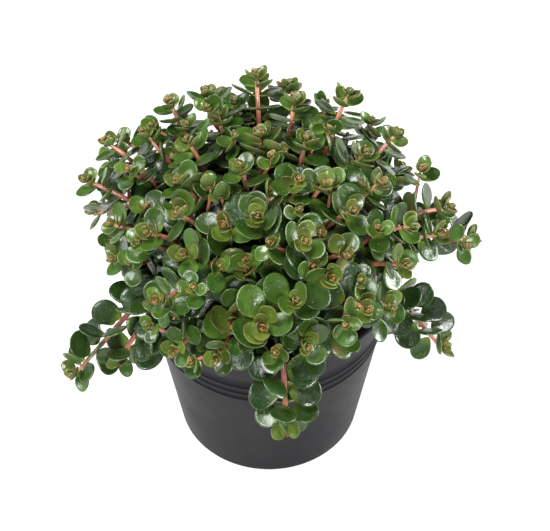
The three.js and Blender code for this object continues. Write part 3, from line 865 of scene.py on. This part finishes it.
def makeRoom(crowd):
    count = len(crowd["length"])
    for _ in range(room["steps"]):
        frames = bladeFrames(crowd)
        turns, hits = np.zeros((count, 3)), np.zeros(count)
        touches = []
        for _, first, second, place, push, _ in leafPushes(crowd, frames):
            touches += [(first, place, push), (second, place, -push)]
        touches += [stemPushes(crowd, frames)[:3], potPushes(crowd, frames)[:3]]
        for leaf, place, push in touches:
            arm = place - crowd["origin"][leaf]
            reach = np.maximum((arm**2).sum(1), room["shortest"] ** 2)
            np.add.at(turns, leaf, np.cross(arm, push) / reach[:, None])
            np.add.at(hits, leaf, 1)
        turns *= np.where(hits > 0, room["share"] * 2 / np.sqrt(np.maximum(hits, 1)), 0)[:, None]
        turns += np.cross(crowd["d"], crowd["restD"]) * room["recall"]
        turns += np.cross(crowd["normal"], crowd["restNormal"]) * room["recall"]
        turnLeaves(crowd, turns * crowd["free"][:, None])


def turnLeaves(crowd, turns):
    angle = np.linalg.norm(turns, axis=1)
    axis = turns / np.maximum(angle, 1e-12)[:, None]
    angle = np.where(angle < 1e-9, 0, np.minimum(angle, room["most"]))[:, None]
    for name in ("d", "normal"):
        v = crowd[name]
        along = axis * (axis * v).sum(1)[:, None] * (1 - np.cos(angle))
        crowd[name] = v * np.cos(angle) + np.cross(axis, v) * np.sin(angle) + along
    crowd["d"] /= np.linalg.norm(crowd["d"], axis=1)[:, None]
    crowd["normal"] -= crowd["d"] * (crowd["normal"] * crowd["d"]).sum(1)[:, None]
    crowd["normal"] /= np.linalg.norm(crowd["normal"], axis=1)[:, None]


def shed(crowd, spill):  # which leaves still cross something, the older of two first
    frames = bladeFrames(crowd)
    worst = np.zeros(len(crowd["i"]))
    for m, _, _, _, _, depth in leafPushes(crowd, frames):
        np.maximum.at(worst, m, depth - room["gap"])
    leaf, _, _, depth = stemPushes(crowd, frames)
    dropped = set(leaf[depth > room["stemSpill"]])
    leaf, _, _, depth = potPushes(crowd, frames)
    dropped |= set(leaf[depth > room["spill"] + room["gap"]])
    crossing = (worst > spill) & (crowd["shoot"][crowd["i"]] != crowd["shoot"][crowd["j"]])
    dropped = {d for d in dropped if crowd["free"][d]}
    for i, j in zip(crowd["i"][crossing], crowd["j"][crossing]):
        if i not in dropped and j not in dropped:
            older = crowd["pair"][i] >= crowd["pair"][j] and crowd["free"][i]
            dropped.add(i if older else j)
    return dropped


def settle(leaves, stemShoots, stemPoints, fixed=0, spill=room["spill"]):
    crowd = gather(leaves, fixed)
    meetStems(crowd, stemShoots, stemPoints)
    makeRoom(crowd)
    dropped = shed(crowd, spill)
    for k, leaf in enumerate(leaves):
        leaf["d"], leaf["normal"] = crowd["d"][k], crowd["normal"][k]
    return [leaf for k, leaf in enumerate(leaves) if k not in dropped]


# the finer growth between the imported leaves: older pairs lower down, and side shoots

fillGrowth = {
    "lowerPairs": 4,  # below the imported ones
    "lowerGap": 6.5,
    "lowerLift": 0.07,
    "lowerSize": 0.95,
    "lowestAt": 0.15,  # along the stem
    "sideShoots": 1,
    "sideAt": (0.72,),  # along the stem
    "sideLength": (20,),
    "sidePairs": 2,
    "sideLeaf": 0.85,  # size of its leaves against the stem's own
    "sideHeart": 0.8,  # and of its rosette
    "sideRoll": 30,
    "sideRadii": (0.9, 0.6),
    "sideScatter": 0.05,
    "sideLean": 0.5,  # towards the stem's tip and the light
    "sideStart": 4,
    "sideEnd": 6,
    "sideRise": 3,
    "underRim": 2,
    "sideFirstGap": 2.6,
    "sideGap": 3.8,
    "sideYoungest": 0.15,
    "leafFoot": 0.8,  # how far its leaves start from its axis
    "light": (0, -0.4, 1),
    "outward": 0.25,
    "spill": 1.0,  # how far these leaves may cross others, which the shade hides
}


def shadeLight(azimuth):
    return unit(np.array(fillGrowth["light"]) + outwardOf(azimuth) * fillGrowth["outward"])


def lowerLeaves(row, n, route):
    azimuth, _, _, _, pairs, full, gap, roll = row
    g = leafGrowth
    sun = shadeLight(azimuth)
    ages = [min(pair / g["pairsToGrow"], 1) for pair in range(pairs)]
    back = g["firstGap"] + sum(gap * (g["youngGap"] + (1 - g["youngGap"]) * age) for age in ages)
    lift, size = fillGrowth["lowerLift"], full * fillGrowth["lowerSize"]
    leaves = []
    for extra in range(fillGrowth["lowerPairs"]):
        share = 1 - back / route["length"]
        if share < fillGrowth["lowestAt"]:
            break
        pair = pairs + extra
        draws = [n * 40 + pair * 2, n * 40 + pair * 2 + 1]
        turn = roll + 90 * pair
        leaves += pairOfLeaves(n, pair, 1, route, share, stemRadiusAt(share), turn, lift, size, sun, draws)
        back += fillGrowth["lowerGap"]
    return [l for l in leaves if clearOfPot(l["origin"])]


def sideShootsOf(n, route):
    g = fillGrowth
    made = []
    for k in range(g["sideShoots"]):
        share = g["sideAt"][k] + g["sideScatter"] * uneven(n * 3 + k + 0.1)
        start, along = pointAt(route, share), headingAt(route, share)
        turn = 2 * math.pi * (0.5 + 0.5 * uneven(n * 5 + k + 0.2))
        side = unit(np.cross(up, along) if abs(along[2]) < 0.98 else np.array([1.0, 0, 0]))
        flat = side * math.cos(turn) + np.cross(along, side) * math.sin(turn)
        heading = unit(flat + along * g["sideLean"] + light * g["sideLean"])
        end = start + heading * g["sideLength"][k]
        if not clearOfPot(end) or start[2] < potHeight - g["underRim"]:
            continue
        tip = end + light * g["sideRise"]
        twig = routeOf(start, start + flat * g["sideStart"], tip - unit(heading + light) * g["sideEnd"], tip)
        twig["flatSide"] = tuple(side)
        made.append(twig)
    return made


def sideLeaves(row, n, twig, k):
    g = fillGrowth
    full = row[5] * g["sideLeaf"]
    sun = shadeLight(row[0])
    leaves, back = [], g["sideFirstGap"]
    for pair in range(g["sidePairs"]):
        age = g["sideYoungest"] + pair / leafGrowth["pairsToGrow"]
        size = full * grownShare(age)
        lift = math.radians(leafGrowth["youngAngle"] * (1 - age))
        share = 1 - back / twig["length"]
        draws = [3000 + n * 60 + k * 20 + pair * 2, 3001 + n * 60 + k * 20 + pair * 2]
        turn = 90 * pair + 40 * k
        leaves += pairOfLeaves(n, 20 + k * 5 + pair, age, twig, share, g["leafFoot"], turn, lift, size, sun, draws)
        back += g["sideGap"]
    return leaves


# short shoots that fill the shade below the imported ones, their leaves darkened with painted shade

underGrowth = {
    "shoots": 80,
    "farthest": 70,
    "turn": 137.5,  # from each shoot to the next, which spreads them evenly
    "rootReach": 0.55,
    "rootTurn": 9,
    "rootDepth": 2,
    "domeTop": 158,
    "domeFall": 20,  # how much lower they reach at the edge
    "domeCurve": 2.2,
    "below": 19,
    "belowScatter": 0.4,
    "rearRise": 18,  # how much higher they reach at the back edge
    "upward": 0.9,  # how steeply they end, against how far out they stand
    "joinAt": 0.7,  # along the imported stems, where the nearest one is looked for
    "firstGap": 3.0,
    "bareRoot": 0.2,
    "radii": (1.2, 0.7),
    "leafFoot": 1.0,
    "pairs": 4,
    "youngestAge": 0.3,
    "full": 18,
    "gap": 6,
    "youngGap": 0.6,
    "oldAngle": 4,
    "roll": 35,
    "spill": 1.8,
}
shadePairs = range(40, 40 + underGrowth["pairs"])  # pair numbers that no other leaf has


def underShoots(routes):
    g = underGrowth
    made = []
    for k in range(g["shoots"]):
        share = math.sqrt((k + 0.5) / g["shoots"])
        reach, azimuth = g["farthest"] * share, g["turn"] * k
        out = outwardOf(azimuth)
        below = g["below"] * (1 + g["belowScatter"] * uneven(k + 0.61))
        height = g["domeTop"] - g["domeFall"] * share ** g["domeCurve"] - below
        height += g["rearRise"] * max(out[1], 0) * share
        rootTurn = outwardOf(azimuth + g["rootTurn"] * uneven(k + 0.67))
        rootRadius = min(g["rootReach"] * reach, stemGrowth["rootMost"])
        root = rootTurn * rootRadius + up * (soilTop - g["rootDepth"])
        tip = out * reach + up * height
        heading = unit(out * share + up * g["upward"])
        span = np.linalg.norm(tip - root)
        rise, straight = up * stemGrowth["rise"] * span, heading * stemGrowth["straightEnd"] * span
        route = routeOf(root, root + rise, tip - straight, tip)
        route["flatSide"] = (-out[1], out[0], 0)
        nearest = min(range(len(routes)), key=lambda n: np.linalg.norm(pointAt(routes[n], g["joinAt"]) - tip))
        made.append((nearest, k, route, shadeLight(azimuth)))
    return made


def underLeaves(n, k, route, sun):
    g = underGrowth
    leaves, back = [], g["firstGap"]
    for pair in range(g["pairs"]):
        share = 1 - back / route["length"]
        if share < g["bareRoot"]:
            break
        age = min(g["youngestAge"] + pair / leafGrowth["pairsToGrow"], 1)
        size = g["full"] * grownShare(age)
        lift = math.radians(leafGrowth["youngAngle"] * (1 - age) + g["oldAngle"])
        draws = [6000 + k * 20 + pair * 2, 6001 + k * 20 + pair * 2]
        roll = 90 * pair + g["roll"] * k
        leaves += pairOfLeaves(n, shadePairs[pair], age, route, share, g["leafFoot"], roll, lift, size, sun, draws)
        back += g["gap"] * (g["youngGap"] + (1 - g["youngGap"]) * age)
    return [l for l in leaves if clearOfPot(l["origin"])]


# leaf meshes

bladeShape = {
    "round": 10,
    "rings": 6,
    "swell": 1.045,  # makes up for what the rounding takes off
    "topShare": 0.46,
    "bottomShare": 0.62,
    "youngCup": 0.15,
    "oldCup": 0.035,
    "cupScatter": 0.03,
    "flatFoot": 0.6,
    "curl": 0.16,
    "curlFrom": 0.35,  # along the blade
    "curlAge": 0.35,  # younger leaves curl inwards
    "curlScatter": 0.25,
    "wave": 0.012,
    "oval": 0.03,
    "corners": 0.02,
    "youngPoint": 0.45,
    "pointLength": 0.12,
    "shownAges": (0.32, 0.68),  # age in the colours: of the youngest leaf, and how much is added
}


def bladePlace(c, leaf, w):
    s, g, draw, age = bladeShape, leafGrowth, leaf["draw"], leaf["age"]
    turn = math.atan2(c.y, c.x)
    ring = math.hypot(c.x, c.y)
    wobble = 1 + s["oval"] * math.sin(2 * turn + 6 * uneven(draw + 0.11))
    wobble += s["corners"] * math.sin(3 * turn + 6 * uneven(draw + 0.13))
    x, y = c.x * s["swell"] * wobble, c.y * s["swell"] * wobble
    foot = min(max(-c.y, 0), 1)
    along = g["bladeCentre"] + (1 - g["bladeCentre"]) * y - (2 * g["bladeCentre"] - 1) * foot**8
    across = 0.5 * x * (1 - g["footTaper"] * foot)
    point = s["youngPoint"] * (1 - leaf["shownAge"]) * max(c.y, 0)
    across *= 1 - point
    along += s["pointLength"] * point * max(c.y, 0)
    if c.z > 0:
        height = s["topShare"] * (1 - (1 - c.z) ** 3)
    else:
        height = -s["bottomShare"] * (1 - (1 + c.z) ** 2)
    height *= leaf["thickness"]
    cup = s["youngCup"] * (1 - age) + s["oldCup"] * age + s["cupScatter"] * uneven(draw + 0.17)
    dish = cup * leaf["length"] * ring**2 * (1 - s["flatFoot"] * foot)
    bent = age - s["curlAge"] + s["curlScatter"] * uneven(draw + 0.19)
    curl = s["curl"] * bent * leaf["length"] * max(along - s["curlFrom"], 0) ** 2
    wave = s["wave"] * leaf["length"] * ring**2 * math.sin(2 * turn + 5 * uneven(draw + 0.23))
    spot = leaf["origin"] + leaf["d"] * along * leaf["length"] - w * across * leaf["width"]
    return spot + leaf["normal"] * (height + dish - curl + wave), ring, along


def addLeaf(bm, leaf, blade, growth, shape):
    w = np.cross(leaf["normal"], leaf["d"])
    made = bmesh.ops.create_uvsphere(bm, u_segments=shape["round"], v_segments=shape["rings"], radius=1)["verts"]
    # painted shade: leaves of the shade shoots get the darkest tone, the others a random tone
    toneAndPaintedShade = 0.0 if leaf["pair"] in shadePairs else 0.5 + 0.5 * uneven(leaf["draw"] + 0.31)
    blush = 0.5 + 0.5 * uneven(leaf["draw"] + 0.37)
    for v in made:
        under = 1.0 if v.co.z < -0.2 else 0.0
        spot, ring, along = bladePlace(v.co, leaf, w)
        v.co = spot * mm
        v[blade] = (ring, under, along, 1)
        v[growth] = (leaf["shownAge"], toneAndPaintedShade, blush, 1)


heartShape = {  # the tight rosette at each tip: size, lift and place of each pair against the tip
    "sizes": (0.15, 0.22, 0.31, 0.42),
    "lifts": (80, 68, 56, 46),
    "backs": (-1.0, 0.0, 1.0, 2.1),
    "ages": (0.0, 0.06, 0.14, 0.22),
    "ageScatter": 0.09,
    "turn": 12,
    "leafFoot": 0.5,
    "thickness": 0.8,
    "round": 8,
    "rings": 4,
}


def heartLeaves(n, route, full, roll, sun, tag):
    s = heartShape
    leaves = []
    for k, (size, lift, back) in enumerate(zip(s["sizes"], s["lifts"], s["backs"])):
        share = min(1 - back / route["length"], 1)
        draws = [9000 + tag * 16 + k * 2, 9001 + tag * 16 + k * 2]
        turn, lift = roll + 90 * (k + 1) + s["turn"] * k, math.radians(lift)
        pair = pairOfLeaves(n, 90 + k, 0, route, share, s["leafFoot"], turn, lift, full * size, sun, draws)
        for leaf in pair:
            leaf["origin"] = leaf["origin"] + headingAt(route, 1) * max(-back, 0)
            leaf["thickness"] = s["thickness"]
            leaf["shownAge"] = s["ages"][k] + s["ageScatter"] * (0.5 + 0.5 * uneven(tag + 0.43))
        leaves += pair
    return leaves


stemShape = {"sides": 9, "step": 2.5, "fewest": 4, "swell": 0.22, "swellLength": 1.1}


def addStem(bm, growth, route, fromRadius, toRadius, ages, nodesAt):
    s = stemShape
    count = max(int(route["length"] / s["step"]), s["fewest"])
    loop = bmesh.ops.create_circle(bm, cap_ends=True, segments=s["sides"], radius=1)["verts"]
    side = np.cross(up, headingAt(route, 0))
    side = unit(side) if np.linalg.norm(side) > 1e-3 else np.array([1.0, 0, 0])
    loop = sorted(loop, key=lambda v: math.atan2(v.co.y, v.co.x))
    angles = [math.atan2(v.co.y, v.co.x) for v in loop]
    rings = [loop]
    edges = [e for e in bm.edges if e.verts[0] in loop and e.verts[1] in loop]
    for k in range(count):
        made = bmesh.ops.extrude_edge_only(bm, edges=edges)["geom"]
        edges = [g for g in made if isinstance(g, bmesh.types.BMEdge) and all(v in made for v in g.verts)]
        fresh = {g for g in made if isinstance(g, bmesh.types.BMVert)}
        rings.append([next(o for o in (e.other_vert(v) for e in v.link_edges) if o in fresh) for v in rings[-1]])
    for k, ring in enumerate(rings):
        share = k / count
        along = headingAt(route, share)
        side = unit(side - along * side.dot(along))
        across = np.cross(along, side)
        offsets = [(share - at) * route["length"] / s["swellLength"] for at in nodesAt]
        swell = 1 + s["swell"] * sum(math.exp(-(offset**2)) for offset in offsets)
        radius = (fromRadius + (toRadius - fromRadius) * share) * swell
        centre = pointAt(route, share)
        for v, angle in zip(ring, angles):
            v.co = (centre + (side * math.cos(angle) + across * math.sin(angle)) * radius) * mm
            v[growth] = (ages[0] + (ages[1] - ages[0]) * share, 0.5, 0, 1)
    bm.faces.new(rings[-1])


def growPlant(leafSkin, stemSkin):
    routes = [stemRoute(row, n) for n, row in enumerate(shoots)]
    budding = [leaf for n, row in enumerate(shoots) for leaf in leavesOf(row, n, routes[n])]
    counted = range(room["buried"], room["stemPoints"] + 1)
    stemPoints = np.array([pointAt(r, k / room["stemPoints"]) for r in routes for k in counted])
    stemShoots = np.repeat(np.arange(len(routes)), len(counted))
    leaves = settle(budding, stemShoots, stemPoints)
    print(len(budding), "leaves budded,", len(leaves), "kept")
    packed = len(leaves)
    twigs = [(n, k, twig) for n, route in enumerate(routes) for k, twig in enumerate(sideShootsOf(n, route))]
    more = [leaf for n, k, twig in twigs for leaf in sideLeaves(shoots[n], n, twig, k)]
    more += [leaf for n, row in enumerate(shoots) for leaf in lowerLeaves(row, n, routes[n])]
    leaves = settle(leaves + more, stemShoots, stemPoints, packed, fillGrowth["spill"])
    print(len(more), "more budded between them,", len(leaves) - packed, "kept")
    packed = len(leaves)
    under = underShoots(routes)
    more = [leaf for n, k, route, sun in under for leaf in underLeaves(n, k, route, sun)]
    leaves = settle(leaves + more, stemShoots, stemPoints, packed, underGrowth["spill"])
    print(len(more), "budded in their shade,", len(leaves) - packed, "kept")
    shownFrom, shownMore = bladeShape["shownAges"]
    for leaf in leaves:
        leaf["shownAge"] = shownFrom + shownMore * leaf["age"]
    for n, row in enumerate(shoots):
        name = f"shoot_{n + 1:02d}"
        own = [leaf for leaf in leaves if leaf["shoot"] == n]
        sun = unit(light + outwardOf(row[0]) * facing["outward"])
        hearts = heartLeaves(n, routes[n], row[5], row[7], sun, n)
        stems = bmesh.new()
        growth = stems.verts.layers.float_color.new("growth")
        nodesAt = [1 - (leafGrowth["firstGap"] + row[6] * k) / routes[n]["length"] for k in range(row[4])]
        addStem(stems, growth, routes[n], stemGrowth["baseRadius"], stemGrowth["tipRadius"], (0, 1), nodesAt)
        for m, k, twig in twigs:
            if m == n:
                addStem(stems, growth, twig, *fillGrowth["sideRadii"], (0.6, 1), [])
                full = row[5] * fillGrowth["sideHeart"]
                hearts += heartLeaves(n, twig, full, fillGrowth["sideRoll"], sun, 100 + n * 2 + k)
        for m, k, route, _ in under:
            if m == n:
                addStem(stems, growth, route, *underGrowth["radii"], (0, 0.8), [])
        finishPiece(name + "_stem", stems, stemSkin, [name])
        for part, crop, shape in (("_leaves", own, bladeShape), ("_heart", hearts, heartShape)):
            bm = bmesh.new()
            blade = bm.verts.layers.float_color.new("blade")
            growth = bm.verts.layers.float_color.new("growth")
            for leaf in crop:
                addLeaf(bm, leaf, blade, growth, shape)
            finishPiece(name + part, bm, leafSkin, [name], 1)


placeCamera()
placeLamps()
floorMesh = bmesh.new()
bmesh.ops.create_grid(floorMesh, x_segments=1, y_segments=1, size=studio["floorSize"] / 2)
floorData = bpy.data.meshes.new("studioFloor")
floorMesh.to_mesh(floorData)
floorMesh.free()
floorData.materials.append(floorMaterial())
studioFloor = link(bpy.data.objects.new("studioFloor", floorData))
studioFloor.location.z = cadBox[0].z
print("studio ready")
makePot(potMaterial())
print("pot turned")
makeSoil(soilMaterial())
print("soil filled in")
growPlant(leafMaterial(), stemMaterial())
print("plant grown")
